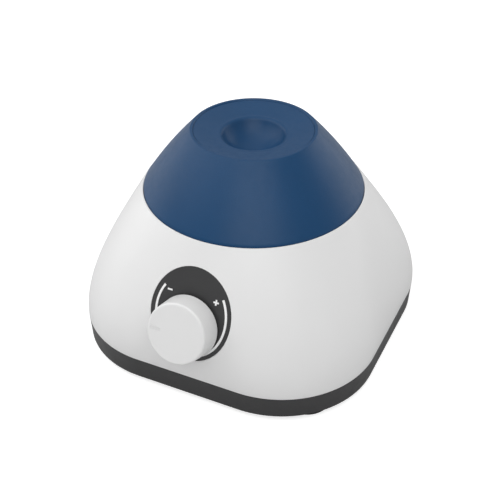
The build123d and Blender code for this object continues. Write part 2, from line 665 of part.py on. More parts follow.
ARMATURE_Z = 14.5
ARMATURE_T = 17.0
ARMATURE_R = 8.7
POLES = 3
with BuildPart() as motor_armature:
    with BuildSketch(Plane.XY.offset(ARMATURE_Z)):
        Circle(ARMATURE_R)
        Circle(7.4, mode=Mode.SUBTRACT)
        with PolarLocations(ARMATURE_R, POLES, start_angle=60):
            Rectangle(5, 2.2, mode=Mode.SUBTRACT)
        Circle(3.0)
        with PolarLocations(4.6, POLES):
            Rectangle(6.4, 3.0)
        Circle(SPINDLE_R + 0.02, mode=Mode.SUBTRACT)
    extrude(amount=ARMATURE_T)
motor_armature.part.label = "motor_armature"
export_step(motor_armature.part, "parts/motor_armature.step")

with BuildPart() as motor_windings:
    with BuildSketch(Plane.XY.offset(ARMATURE_Z - 1.2)):
        with PolarLocations(5.2, POLES):
            Rectangle(3.0, 5.6)
    extrude(amount=ARMATURE_T + 2.4)
    with BuildSketch(Plane.XY.offset(ARMATURE_Z - 0.05)):
        with PolarLocations(4.6, POLES):
            Rectangle(7.0, 3.1)
    extrude(amount=ARMATURE_T + 0.1, mode=Mode.SUBTRACT)
motor_windings.part.label = "motor_windings"
export_step(motor_windings.part, "parts/motor_windings.step")

with BuildPart() as motor_commutator:
    tube(Plane.XY.offset(9.6), 2.6, SPINDLE_R + 0.02, 3.4)
    with BuildSketch(Plane.XY.offset(9.6)):
        with PolarLocations(2.6, POLES, start_angle=30):
            Rectangle(0.8, 0.3)
    extrude(amount=3.4, mode=Mode.SUBTRACT)
motor_commutator.part.label = "motor_commutator"
export_step(motor_commutator.part, "parts/motor_commutator.step")

HUB_R = 6.0
PIN_STUD_R = 2.0  # the stud that the head bearing sits on
BEARING_BORE = 2.02
SET_SCREW_Z = 42.4
ECC_DIR = (math.cos(math.radians(REST_PHASE)), math.sin(math.radians(REST_PHASE)), 0)
SET_SCREW = Plane(origin=(0, 0, SET_SCREW_Z), z_dir=ECC_DIR)
with BuildPart() as eccentric_hub:
    disc(Plane.XY.offset(HUB_Z), HUB_R, HUB_TOP - HUB_Z)
    with BuildSketch(Plane.XY.offset(HUB_TOP)):
        with Locations((ECC_X, ECC_Y)):
            Circle(3.0)
    extrude(amount=SEAT_Z - HUB_TOP)
    with BuildSketch(Plane.XY.offset(SEAT_Z)):
        with Locations((ECC_X, ECC_Y)):
            Circle(PIN_STUD_R)
    extrude(amount=BEARING_T - 0.1)
    disc(Plane.XY.offset(HUB_Z), SPINDLE_R + 0.01, HUB_TOP - 0.7 - HUB_Z, mode=Mode.SUBTRACT)
    disc(SET_SCREW.offset(0.5), 1.5, HUB_R, mode=Mode.SUBTRACT)
    with BuildSketch(Plane.XY.offset(47.0)):
        with Locations((ECC_X, ECC_Y)):
            Circle(1.0)
    extrude(amount=10, mode=Mode.SUBTRACT)
eccentric_hub.part.label = "eccentric_hub"
export_step(eccentric_hub.part, "parts/eccentric_hub.step")

with BuildPart() as hub_set_screw:
    disc(SET_SCREW.offset(SPINDLE_R + 0.05), 1.45, 5.6)
    with BuildSketch(SET_SCREW.offset(SPINDLE_R + 5.65)):
        RegularPolygon(0.75, 6, major_radius=False)
    extrude(amount=-1.4, mode=Mode.SUBTRACT)
hub_set_screw.part.label = "hub_set_screw"
export_step(hub_set_screw.part, "parts/hub_set_screw.step")

WEIGHT_R = 13.5
with BuildPart() as counterweight:
    with BuildSketch(Plane.XY.offset(HUB_Z)):
        with BuildLine():
            Polyline((0, 0), (-30, -24), (-30, 24), close=True)
        make_face()
        Circle(WEIGHT_R, mode=Mode.INTERSECT)
        Circle(8.0)
        Circle(HUB_R + 0.02, mode=Mode.SUBTRACT)
    extrude(amount=4.5)
    disc(Plane(origin=(0, 0, SET_SCREW_Z), z_dir=(1, 0, 0)), 1.5, 20, mode=Mode.SUBTRACT)
counterweight_at_rest = Rot(0, 0, REST_PHASE) * counterweight.part
counterweight_at_rest.label = "counterweight"
export_step(counterweight_at_rest, "parts/counterweight.step")

# ---------------------------------------------------------------- head bearing
BALL_R = 1.05
BALL_RING_R = 4.35
GROOVE_R = 1.13
BALLS = 7
BALL_Z = SEAT_Z + BEARING_T / 2
HEAD_LEVEL = Plane(origin=(ECC_X, ECC_Y, BALL_Z))


def cut_ball_groove():
    """Cut the ring-shaped track that the balls run in."""
    with BuildSketch(HEAD_SECTION) as groove:
        with Locations((BALL_RING_R, BALL_Z)):
            Circle(GROOVE_R)
    revolve(groove.sketch, axis=HEAD_AXIS, mode=Mode.SUBTRACT)


with BuildPart() as bearing_inner_ring:
    tube(HEAD_LEVEL.offset(-BEARING_T / 2), 3.5, BEARING_BORE, BEARING_T)
    cut_ball_groove()
bearing_inner_ring.part.label = "bearing_inner_ring"
export_step(bearing_inner_ring.part, "parts/bearing_inner_ring.step")

with BuildPart() as bearing_outer_ring:
    tube(HEAD_LEVEL.offset(-BEARING_T / 2), 6.5, 5.2, BEARING_T)
    cut_ball_groove()
bearing_outer_ring.part.label = "bearing_outer_ring"
export_step(bearing_outer_ring.part, "parts/bearing_outer_ring.step")

with BuildPart() as bearing_balls:
    with Locations(HEAD_LEVEL):
        with PolarLocations(BALL_RING_R, BALLS):
            Sphere(BALL_R)
bearing_balls.part.label = "bearing_balls"
export_step(bearing_balls.part, "parts/bearing_balls.step")

with BuildPart() as bearing_cage:
    tube(HEAD_LEVEL.offset(-0.6), 4.9, 3.8, 2.6)
    with Locations(HEAD_LEVEL):
        with PolarLocations(BALL_RING_R, BALLS):
            Sphere(BALL_R + 0.07, mode=Mode.SUBTRACT)
bearing_cage.part.label = "bearing_cage"
export_step(bearing_cage.part, "parts/bearing_cage.step")

with BuildPart() as bearing_screw:
    disc(HEAD_LEVEL.offset(BEARING_T / 2), 3.1, 1.1)
    disc(HEAD_LEVEL.offset(BEARING_T / 2), 0.95, -3.2)
    with BuildSketch(HEAD_LEVEL.offset(BEARING_T / 2 + 1.1)):
        Rectangle(2.6, 0.5)
        Rectangle(0.5, 2.6)
    extrude(amount=-0.7, mode=Mode.SUBTRACT)
bearing_screw.part.label = "bearing_screw"
export_step(bearing_screw.part, "parts/bearing_screw.step")

# ---------------------------------------------------------------- cup head
PAD_RIM_Z = boot_level(0.9)[1]
PAD_RIM_R = boot_level(0.9)[0]
PAD_UNDER = 66.3
PAD_BODY_R = 12.2
HOLDER_BORE = PAD_BODY_R + 0.2
HOLDER_R = 14.4
WEB_Z = SEAT_Z + BEARING_T
PLUG_SHOULDER_Z = 61.0  # the pad's body narrows below this height
PAD_FOOT_R = 9.5
PAD_FOOT_Z = 57.7
PLUG_R = 4.4  # boss under the pad that plugs into the holder
PLUG_Z = 52.4
with BuildPart() as cup_holder:
    turn(
        [
            (6.53, SEAT_Z - 0.2),
            (8.5, SEAT_Z - 0.2),
            (8.5, WEB_Z + 0.5),
            (HOLDER_R, WEB_Z + 0.5),
            (HOLDER_R, 63.3),
            (18.0, 63.3),
            (18.0, PAD_UNDER),
            (HOLDER_BORE, PAD_UNDER),
            (HOLDER_BORE, PLUG_SHOULDER_Z - 0.2),
            (PAD_FOOT_R + 0.2, PAD_FOOT_Z - 0.3),
            (PLUG_R + 0.2, PAD_FOOT_Z - 0.3),
            (PLUG_R + 0.2, WEB_Z),
            (6.53, WEB_Z),
        ],
        HEAD_SECTION,
        HEAD_AXIS,
    )
cup_holder.part.label = "cup_holder"
export_step(cup_holder.part, "parts/cup_holder.step")

# The cup is part of a sphere, and its rounded lip meets the sphere without a corner.
LIP_Z = LIP_CREST_Z - LIP_R
BOWL_R = LIP_CREST_R / math.sin(math.radians(BOWL_LEAN)) - LIP_R
BOWL_Z = LIP_Z + (BOWL_R + LIP_R) * math.cos(math.radians(BOWL_LEAN))
with BuildPart() as cup_pad:
    with BuildSketch(HEAD_SECTION):
        with BuildLine():
            bowl = CenterArc((0, BOWL_Z), BOWL_R, -90, BOWL_LEAN)
            lip_arc = CenterArc((LIP_CREST_R, LIP_Z), LIP_R, 90 + BOWL_LEAN, -BOWL_LEAN)
            Polyline(
                lip_arc @ 1,
                (RIDGE_R - 1.0, RIDGE_Z - 0.35),
                (RIDGE_R - 0.7, RIDGE_Z),
                (RIDGE_R, RIDGE_Z),
                (PAD_RIM_R, PAD_RIM_Z),
                (17.4, PAD_RIM_Z),
                (17.4, PAD_UNDER),
                (PAD_BODY_R, PAD_UNDER),
                (PAD_BODY_R, PLUG_SHOULDER_Z),
                (PAD_FOOT_R, PAD_FOOT_Z),
                (PLUG_R, PAD_FOOT_Z),
                (PLUG_R, PLUG_Z),
                (0, PLUG_Z),
                bowl @ 0,
            )
        make_face()
    revolve(axis=HEAD_AXIS)
cup_pad.part.label = "cup_pad"
export_step(cup_pad.part, "parts/cup_pad.step")

# ---------------------------------------------------------------- microswitch
LEVER_PIVOT_Y = SWITCH_Y - 5.0
LEVER_PIVOT_Z = SWITCH_Z + SWITCH_H + 0.9
LEVER_RISE = 6.5  # degrees
LEVER_T = 0.3
PLUNGER_Y = LEVER_PIVOT_Y + 3.0
LEVER_SIDE = Plane(origin=(SWITCH_X, LEVER_PIVOT_Y, LEVER_PIVOT_Z), x_dir=(0, 1, 0), z_dir=(1, 0, 0))
with BuildPart() as switch_body:
    block(SWITCH_X, SWITCH_Y, SWITCH_Z, SWITCH_W, SWITCH_L, SWITCH_H)
    for side in (-1, 1):
        block(SWITCH_X + side * 2.4, LEVER_PIVOT_Y, SWITCH_Z + SWITCH_H, 0.9, 2.2, 1.9)
    disc(LEVER_SIDE.offset(-5), 0.42, 10, mode=Mode.SUBTRACT)
    discs([(SWITCH_X, PLUNGER_Y)], SWITCH_Z + 3.5, 0.66, 6, mode=Mode.SUBTRACT)
    # Terminals on the end that faces the board.
    for z in (SWITCH_Z + 1.2, SWITCH_Z + 4.2):
        block(SWITCH_X - SWITCH_W / 2 - 1.0, SWITCH_Y - 2, z, 2.0, 1.6, 0.5)
switch_body.part.label = "switch_body"
export_step(switch_body.part, "parts/switch_body.step")

with BuildPart() as switch_pin:
    disc(LEVER_SIDE.offset(-2.8), 0.4, 5.6)
switch_pin.part.label = "switch_pin"
export_step(switch_pin.part, "parts/switch_pin.step")

LEVER_TILTED = Plane(
    origin=LEVER_SIDE.origin,
    x_dir=(0, math.cos(math.radians(LEVER_RISE)), math.sin(math.radians(LEVER_RISE))),
    z_dir=(1, 0, 0),
)
with BuildPart() as switch_lever:
    with BuildSketch(LEVER_TILTED.offset(-1.6)):
        with Locations((6.0, 0)):
            Rectangle(12.6, LEVER_T)
        Circle(0.75)
        Circle(0.43, mode=Mode.SUBTRACT)
    extrude(amount=3.2)
switch_lever.part.label = "switch_lever"
export_step(switch_lever.part, "parts/switch_lever.step")

plunger_top = LEVER_PIVOT_Z + 2.4 * math.tan(math.radians(LEVER_RISE)) - LEVER_T / 2 - 0.05
with BuildPart() as switch_plunger:
    discs([(SWITCH_X, PLUNGER_Y)], SWITCH_Z + 4.2, 0.6, plunger_top - SWITCH_Z - 4.2)
switch_plunger.part.label = "switch_plunger"
export_step(switch_plunger.part, "parts/switch_plunger.step")

# ---------------------------------------------------------------- control board
with BuildPart() as control_board:
    with BuildSketch(Plane.XY.offset(BOARD_Z)):
        with Locations((BOARD_X, BOARD_Y)):
            RectangleRounded(BOARD_W, BOARD_L, 1.5)
        with Locations(*STANDOFFS):
            Circle(1.1, mode=Mode.SUBTRACT)
    extrude(amount=BOARD_T)
control_board.part.label = "control_board"
export_step(control_board.part, "parts/control_board.step")

with BuildPart() as board_screws:
    discs(STANDOFFS, BOARD_TOP, 1.9, 1.2)
    discs(STANDOFFS, BOARD_Z - 4.0, 0.8, BOARD_T + 4.0)
    cross_slots(STANDOFFS, BOARD_TOP + 1.2, 2.0, 0.45, 0.6)
board_screws.part.label = "board_screws"
export_step(board_screws.part, "parts/board_screws.step")

CONNECTOR_X = -27.5
CONNECTOR_TOP = BOARD_TOP + 6.0
SPEED_Y = 1.0
MOTOR_Y = 7.2
SWITCH_LEAD_Y = 12.6
POWER_Y = 18.2
with BuildPart() as board_connectors:
    block(CONNECTOR_X, SPEED_Y, BOARD_TOP, 5.0, 6.6, 6.0)
    for y in (MOTOR_Y, SWITCH_LEAD_Y, POWER_Y):
        block(CONNECTOR_X, y, BOARD_TOP, 5.0, 5.0, 6.0)
board_connectors.part.label = "board_connectors"
export_step(board_connectors.part, "parts/board_connectors.step")

with BuildPart() as drive_transistor:
    block(-37.5, 3.0, BOARD_TOP + 3.0, 10.0, 4.4, 9.0)
    block(-37.5, 4.6, BOARD_TOP + 12.0, 10.0, 1.2, 6.0)
    for x in (-40.0, -37.5, -35.0):
        block(x, 3.0, BOARD_TOP, 0.8, 0.5, 3.0)
    disc(Plane(origin=(-37.5, 0, BOARD_TOP + 15.0), z_dir=(0, 1, 0)), 1.8, 10, mode=Mode.SUBTRACT)
drive_transistor.part.label = "drive_transistor"
export_step(drive_transistor.part, "parts/drive_transistor.step")

with BuildPart() as smoothing_capacitor:
    disc(Plane(origin=(-36.6, 14.8, BOARD_TOP)), 4.0, 11.5)
    fillet(smoothing_capacitor.edges(), 0.5)
smoothing_capacitor.part.label = "smoothing_capacitor"
export_step(smoothing_capacitor.part, "parts/smoothing_capacitor.step")

with BuildPart() as driver_chip:
    block(-33.4, 8.0, BOARD_TOP + 0.1, 3.9, 4.9, 1.5)
    for side in (-1, 1):
        for k in range(4):
            block(-33.4 + side * 2.4, 8.0 + (k - 1.5) * 1.27, BOARD_TOP, 1.0, 0.4, 0.5)
driver_chip.part.label = "driver_chip"
export_step(driver_chip.part, "parts/driver_chip.step")

# ---------------------------------------------------------------- internal leads
LEAD_R = 0.6


def bend_radii(points):
    """Largest arc at each corner that its two runs leave room for."""
    radii = []
    for before, here, after in zip(points, points[1:], points[2:]):
        arriving = Vector(*here) - Vector(*before)
        leaving = Vector(*after) - Vector(*here)
        half_turn = math.radians(arriving.get_angle(leaving) / 2)
        radii.append(0.45 * min(arriving.length, leaving.length) / math.tan(half_turn))
    return radii


def lead(points, radius):
    """A round lead along straight runs joined by arcs."""
    with BuildLine():
        route = FilletPolyline(*points, radius=bend_radii(points))
    with BuildSketch(Plane(origin=route @ 0, z_dir=route % 0)) as section:
        Circle(radius)
    sweep(section.sketch, path=route)


def drop_into(y, rise):
    """The last two points of a lead: straight down into the top of its connector."""
    return [(CONNECTOR_X, y, CONNECTOR_TOP + rise), (CONNECTOR_X, y, CONNECTOR_TOP)]


TAB_END_Y = JACK_Y - JACK_DEPTH - TAB_REACH
CORE_SPACING = 1.2  # half the distance between the two cores in a connector
RED_POWER_ROUTE = [
    (0, TAB_END_Y, JACK_Z),
    (0, TAB_END_Y - 3.0, JACK_Z),
    (-7.0, 29.6, 23.0),
    (-17.0, 28.4, 26.0),
    (-24.5, 24.0, 26.5),
] + drop_into(POWER_Y + CORE_SPACING, 5.5)
BLACK_POWER_ROUTE = [
    (-SLEEVE_TAB_X, TAB_END_Y, JACK_Z),
    (-SLEEVE_TAB_X, TAB_END_Y - 3.6, JACK_Z),
    (-1.0, 28.0, 25.0),
    (-12.0, 28.6, 29.0),
    (-22.5, 22.5, 29.5),
] + drop_into(POWER_Y - CORE_SPACING, 7.5)
for name, route_points in (
    ("power_lead_red", RED_POWER_ROUTE),
    ("power_lead_black", BLACK_POWER_ROUTE),
):
    with BuildPart() as power_lead:
        lead(route_points, LEAD_R)
    power_lead.part.label = name
    export_step(power_lead.part, "parts/" + name + ".step")

TAB_TOP = 7.75
for name, side in (("motor_lead_red", 1), ("motor_lead_black", -1)):
    y_start = side * TAB_Y
    y_end = MOTOR_Y + side * CORE_SPACING
    with BuildPart() as motor_lead:
        lead(
            [
                (TAB_X, y_start, TAB_TOP),
                (TAB_X, y_start, TAB_TOP + 7.0),
                (TAB_X - 3.4, (2 * y_start + y_end) / 3, TAB_TOP + 14.0),
                (TAB_X - 8.0, (y_start + 2 * y_end) / 3, TAB_TOP + 17.0),
            ]
            + drop_into(y_end, 5.0),
            LEAD_R,
        )
    motor_lead.part.label = name
    export_step(motor_lead.part, "parts/" + name + ".step")

with BuildPart() as switch_cable:
    lead(
        [
            (SWITCH_X - SWITCH_W / 2 - 2.0, SWITCH_Y - 2, SWITCH_Z + 3.0),
            (14.5, SWITCH_Y - 2, SWITCH_Z + 3.0),
            (6.0, 16.2, 26.0),
            (-5.0, 16.6, 27.0),
            (-15.0, 14.2, 27.0),
            (-22.5, 13.2, 26.5),
        ]
        + drop_into(SWITCH_LEAD_Y, 5.5),
        1.1,
    )
switch_cable.part.label = "switch_cable"
export_step(switch_cable.part, "parts/switch_cable.step")

LUG_PLANE = KNOB.offset(-POT_PAD_DEPTH - LUG_DEPTH - 0.4)
LUG_X = -POT_R - 1 - LUG_LONG / 2
with BuildPart() as speed_cable:
    lead(
        [
            tuple(LUG_PLANE.from_local_coords((LUG_X, 0, 0))),
            tuple(LUG_PLANE.from_local_coords((LUG_X - 4.0, 0, 0))),
            (-21.5, -36.5, 22.5),
            (-26.5, -27.0, 20.0),
            (-29.0, -16.0, 20.5),
            (-28.5, -6.5, 24.0),
        ]
        + drop_into(SPEED_Y, 7.0),
        1.5,
    )
speed_cable.part.label = "speed_cable"
export_step(speed_cable.part, "parts/speed_cable.step")
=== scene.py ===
import json
import math

import bmesh
import bpy
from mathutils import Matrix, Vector


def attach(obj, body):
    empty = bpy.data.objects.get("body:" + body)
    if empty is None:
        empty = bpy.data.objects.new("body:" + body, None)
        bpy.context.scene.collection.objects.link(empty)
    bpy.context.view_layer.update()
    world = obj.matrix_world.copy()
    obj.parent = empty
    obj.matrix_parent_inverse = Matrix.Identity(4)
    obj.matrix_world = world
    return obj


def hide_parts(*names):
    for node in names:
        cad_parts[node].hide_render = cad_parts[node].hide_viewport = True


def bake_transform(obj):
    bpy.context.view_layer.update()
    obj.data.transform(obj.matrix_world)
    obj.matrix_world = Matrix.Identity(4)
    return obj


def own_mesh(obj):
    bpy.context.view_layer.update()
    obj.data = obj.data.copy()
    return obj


# Looks for the touch-start vortex mixer. Metres, in the row frame: the dial faces -Y and +Z is up.
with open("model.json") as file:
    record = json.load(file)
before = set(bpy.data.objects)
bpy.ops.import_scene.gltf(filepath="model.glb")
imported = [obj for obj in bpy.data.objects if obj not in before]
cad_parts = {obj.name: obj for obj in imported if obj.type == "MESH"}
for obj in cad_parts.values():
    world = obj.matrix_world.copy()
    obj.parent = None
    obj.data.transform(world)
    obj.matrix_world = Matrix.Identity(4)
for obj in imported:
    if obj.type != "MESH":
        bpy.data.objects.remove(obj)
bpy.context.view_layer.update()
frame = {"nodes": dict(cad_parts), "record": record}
scene = bpy.context.scene


# ---------------------------------------------------------------- materials
# Texture scales, in repeats to the metre
DRIFT_SCALE = 38  # slow change of colour over a moulding
GLOSS_SCALE = 260  # patches of higher and lower gloss
WAVE_SCALE = 120  # sink marks
SKIN_DRIFT_SCALE = 55
SKIN_GLOSS_SCALE = 420
SKIN_GRAIN_SCALE = 5200
BEAD_SCALE = 2600  # bead-blasted specks
METAL_GLOSS_SCALE = 300
SKIN_RELIEF = 0.00002  # in metres
COAT_ROUGHNESS = 0.18


def srgb(level):
    """Linear value of an sRGB level from 0 to 255."""
    c = level / 255
    return c / 12.92 if c <= 0.04045 else ((c + 0.055) / 1.055) ** 2.4


def tint(*levels):
    """Linear colour of three sRGB levels."""
    return tuple(srgb(v) for v in levels) + (1.0,)


class Nodes:
    """Short-hand for building one material's node tree round a Principled shader."""

    def __init__(self, name):
        self.mat = bpy.data.materials.new(name)
        self.mat.use_nodes = True
        self.tree = self.mat.node_tree
        self.shader = self.tree.nodes["Principled BSDF"]
        self.coords = self.tree.nodes.new("ShaderNodeTexCoord").outputs["Object"]

    def node(self, kind, inputs=None, **settings):
        made = self.tree.nodes.new(kind)
        for key, value in settings.items():
            setattr(made, key, value)
        for key, value in (inputs or {}).items():
            self.plug(value, made.inputs[key])
        return made

    def plug(self, value, socket):
        if isinstance(value, bpy.types.NodeSocket):
            self.tree.links.new(value, socket)
        else:
            socket.default_value = value

    def set(self, **values):
        for key, value in values.items():
            self.plug(value, self.shader.inputs[key.replace("_", " ")])

    def stretched(self, scale):
        """Object coordinates stretched by a scale for each axis."""
        return self.node("ShaderNodeMapping", {"Vector": self.coords, "Scale": scale}).outputs[0]

    def noise(self, per_metre, detail=3.0, rough=0.5, vector=None):
        inputs = {
            "Vector": vector or self.coords,
            "Scale": per_metre,
            "Detail": detail,
            "Roughness": rough,
        }
        return self.node("ShaderNodeTexNoise", inputs).outputs["Fac"]

    def cells(self, per_metre):
        inputs = {"Vector": self.coords, "Scale": per_metre}
        return self.node("ShaderNodeTexVoronoi", inputs).outputs["Distance"]

    def remap(self, value, low, high, source=(0.3, 0.7)):
        inputs = {
            "Value": value,
            "From Min": source[0],
            "From Max": source[1],
            "To Min": low,
            "To Max": high,
        }
        return self.node("ShaderNodeMapRange", inputs).outputs[0]

    def mix(self, factor, a, b):
        made = self.node("ShaderNodeMix", data_type="RGBA")
        self.plug(factor, made.inputs["Factor"])
        self.plug(a, made.inputs["A"])
        self.plug(b, made.inputs["B"])
        return made.outputs["Result"]

    def bump(self, height, distance, strength=1.0, under=None):
        inputs = {"Height": height, "Distance": distance, "Strength": strength}
        if under is not None:
            inputs["Normal"] = under
        return self.node("ShaderNodeBump", inputs).outputs[0]


def shade(colour, factor):
    """A colour made darker or lighter by a factor."""
    return tuple(min(c * factor, 1.0) for c in colour[:3]) + (1.0,)


def moulded(name, colour, rough, vary=0.04, grain=9000, relief=0.00001, wave=0.0, coat=0.0):
    """Injection-moulded plastic: fine texture, slow colour drift and patchy gloss."""
    n = Nodes(name)
    drift = n.remap(n.noise(DRIFT_SCALE, 2.0), 0.0, 1.0)
    n.set(Base_Color=n.mix(drift, shade(colour, 1 - vary), shade(colour, 1 + vary / 2)))
    n.set(Roughness=n.remap(n.noise(GLOSS_SCALE, 4.0), rough - 0.04, rough + 0.05))
    fine = n.bump(n.noise(grain, 2.0), relief)
    if wave:
        fine = n.bump(n.noise(WAVE_SCALE, 1.0), wave, 1.0, fine)
    n.set(Normal=fine, Coat_Weight=coat, Coat_Roughness=COAT_ROUGHNESS)
    return n.mat


def silicone(name, colour):
    """Matt silicone with a bead-blasted skin."""
    n = Nodes(name)
    drift = n.remap(n.noise(SKIN_DRIFT_SCALE, 3.0), 0.0, 1.0)
    speck = n.remap(n.cells(BEAD_SCALE), 0.0, 1.0, (0.05, 0.6))
    body = n.mix(drift, shade(colour, 0.95), shade(colour, 1.05))
    n.set(Base_Color=n.mix(speck, shade(colour, 0.93), body))
    gloss = n.remap(n.noise(SKIN_GLOSS_SCALE, 4.0), 0.36, 0.44)
    n.set(Roughness=gloss, Specular_IOR_Level=0.3)
    skin = n.bump(n.noise(SKIN_GRAIN_SCALE, 3.0, 0.6), SKIN_RELIEF)
    n.set(Normal=n.bump(n.cells(BEAD_SCALE), SKIN_RELIEF, 0.5, skin))
    return n.mat


def metal(name, colour, rough, stretch=(1, 1, 1), grain=1400, relief=0.000004):
    """Machined or drawn metal with tool lines along one axis."""
    n = Nodes(name)
    lines = n.noise(grain, 3.0, 0.6, n.stretched(stretch))
    shine = n.remap(lines, 0.0, 1.0)
    n.set(Base_Color=n.mix(shine, shade(colour, 0.86), shade(colour, 1.06)))
    gloss = n.remap(n.noise(METAL_GLOSS_SCALE, 4.0), rough - 0.06, rough + 0.08)
    n.set(Roughness=gloss, Metallic=1.0)
    n.set(Normal=n.bump(lines, relief))
    return n.mat


MATERIALS = {
    "shell_plastic": moulded(
        "shell_white", tint(233, 233, 233), 0.34,
        vary=0.012, grain=7000, relief=0.000004, wave=0.00001
    ),
    "knob_plastic": moulded(
        "knob_white", tint(231, 231, 231), 0.33, vary=0.012, grain=7000, relief=0.000004
    ),
    "index_grey": moulded("index_line", tint(226, 226, 226), 0.42, vary=0.02),
    "tray_plastic": moulded(
        "tray_dark", tint(52, 52, 53), 0.46, vary=0.07, grain=6500, relief=0.00001
    ),
    "dial_plastic": moulded(
        "dial_dark", tint(52, 52, 53), 0.44, vary=0.06, grain=7500, relief=0.000006
    ),
    "mark_white": moulded(
        "mark_ink", tint(246, 246, 246), 0.50, vary=0.02, grain=9000, relief=0.000004
    ),
    "boot_silicone": silicone("boot_blue", tint(12, 63, 104)),
    "foot_rubber": moulded(
        "foot_rubber", tint(15, 15, 16), 0.8, vary=0.12, grain=5200, relief=0.00002
    ),
    "black_plastic": moulded("black_moulding", tint(34, 34, 35), 0.42, vary=0.1),
    "frame_plastic": moulded("frame_moulding", tint(88, 89, 91), 0.5, vary=0.08),
    "connector_white": moulded("connector_nylon", tint(226, 222, 208), 0.45, vary=0.04),
    "capacitor_sleeve": moulded("capacitor_sleeve", tint(34, 40, 66), 0.25, vary=0.08, coat=0.5),
    "plunger_red": moulded("plunger_red", tint(172, 40, 34), 0.38, vary=0.06),
    "cage_nylon": moulded("cage_nylon", tint(214, 200, 160), 0.45, vary=0.06),
    "board_green": moulded(
        "board_mask", tint(26, 98, 52), 0.3, vary=0.16, grain=2400, relief=0.00001, coat=0.4
    ),
    "lead_red": moulded("lead_red", tint(186, 34, 30), 0.42, vary=0.06),
    "lead_black": moulded("lead_black", tint(28, 28, 29), 0.45, vary=0.1),
    "lead_grey": moulded("lead_grey", tint(130, 131, 133), 0.5, vary=0.06),
    "magnet_dark": moulded("ferrite", tint(66, 66, 68), 0.6, vary=0.14, grain=3200, relief=0.00002),
    "steel": metal("zinc_plate", tint(176, 178, 180), 0.36, stretch=(1, 14, 14)),
    "screw_steel": metal("screw_steel", tint(182, 183, 184), 0.3),
    "nut_steel": metal("nut_steel", tint(186, 187, 188), 0.28),
    "pot_metal": metal("pot_metal", tint(178, 179, 177), 0.32),
    "ground_steel": metal("ground_steel", tint(204, 205, 207), 0.16, stretch=(18, 18, 1)),
    "spring_steel": metal("spring_steel", tint(168, 168, 168), 0.3),
    "motor_steel": metal("motor_can", tint(184, 184, 182), 0.3, stretch=(1, 1, 22)),
    "brass": metal("brass", tint(216, 184, 116), 0.24),
    "copper": metal("copper", tint(218, 150, 108), 0.3, stretch=(1, 1, 30)),
    "aluminium": metal("aluminium", tint(210, 211, 212), 0.26, stretch=(1, 1, 24)),
}
slot_of = {part["node"]: part["material_slot"] for part in frame["record"]["subparts"]}
for name, node in frame["nodes"].items():
    node.data.materials.clear()
    node.data.materials.append(MATERIALS[slot_of[name]])


# ---------------------------------------------------------------- silicone boot and cup pad
MM = 0.001
# Sizes from here down to the lamps are in millimetres
ORBIT_R = 2.0  # how far the cup's axis stands from the motor's
REST_PHASE = math.radians(115)  # the direction in which it stands there at rest
CUP_OFFSET = Vector((ORBIT_R * math.cos(REST_PHASE), ORBIT_R * math.sin(REST_PHASE)))
HEM_R, SHOULDER_R, RIDGE_R = 35.45, 28.73, 20.04  # control radii of the boot's cone
HEM_TOP, SHOULDER_Z, RIDGE_Z = 51.8, 61.88, 70.6  # and their heights
SKIN_T = 2.6  # boot wall, measured level
HEM_BORE_R = 33.1
GROOVE_R = HEM_R - 0.6  # floor of the clamp ring's groove
# Outlines are lists of (radius, height, rounding)
HEM_OUTLINE = [
    (HEM_BORE_R, 45.4, 0.2),
    (HEM_R, 45.4, 0.3),
    (HEM_R, 47.0, 0.15),
    (GROOVE_R, 47.0, 0),
    (GROOVE_R, 49.0, 0),
    (HEM_R, 49.0, 0.15),
]
RIM_OUTLINE = [
    (RIDGE_R, RIDGE_Z, 0.3),
    (19.34, RIDGE_Z, 0.15),
    (19.07, 70.25, 0.05),
    (19.07, 69.4, 0),
]
HEM_INSIDE = [(HEM_R - SKIN_T, 50.5, 0), (HEM_BORE_R, 50.5, 0)]
INSIDE_TOP = 68.6  # the cone's inner face starts here
CONE_STEPS, INSIDE_STEPS = 44, 16
LIP_CREST_R, LIP_CREST_Z, LIP_R = 11.4, 68.7, 1.8
BOWL_LEAN = math.radians(60)  # how steep the bowl is where the lip begins
BOWL_STEPS, LIP_STEPS = 30, 12
PAD_SIDE = [  # from the pad's top edge down to the boss
    (19.04, 70.25, 0.1),
    (19.04, 69.4, 0.1),
    (17.4, 69.4, 0.3),
    (17.4, 66.3, 0.4),
    (12.2, 66.3, 0.4),
    (12.2, 61.0, 0.8),
    (9.5, 57.7, 0.6),
    (4.4, 57.7, 0.4),
    (4.4, 52.4, 0.6),
    (0, 52.4, 0),
]
SEGMENTS = 192  # round the axis
CORNER_STEPS = 5
LONGEST_RUN = 0.9  # a longer run of an outline is divided
ON_AXIS = 1e-6  # a smaller radius is a single point


def curve3(a, b, c, t):
    """Point on a three-point Bezier curve."""
    return a * (1 - t) ** 2 + 2 * b * t * (1 - t) + c * t**2


def rounded(outline, closed):
    """Turn (radius, height, rounding) corners into a fine outline with arcs at the corners."""
    fine = []
    count = len(outline)
    for k, (r, z, rounding) in enumerate(outline):
        here = Vector((r, z))
        if not rounding or (not closed and k in (0, count - 1)):
            fine.append(here)
            continue
        before = (Vector(outline[k - 1][:2]) - here).normalized()
        after = (Vector(outline[(k + 1) % count][:2]) - here).normalized()
        half = before.angle(after) / 2
        reach = rounding / math.tan(half)
        middle = here + (before + after).normalized() * (rounding / math.sin(half))
        start = here + before * reach - middle
        end = here + after * reach - middle
        for step in range(CORNER_STEPS + 1):
            fine.append(middle + start.slerp(end, step / CORNER_STEPS).normalized() * rounding)
    return fine


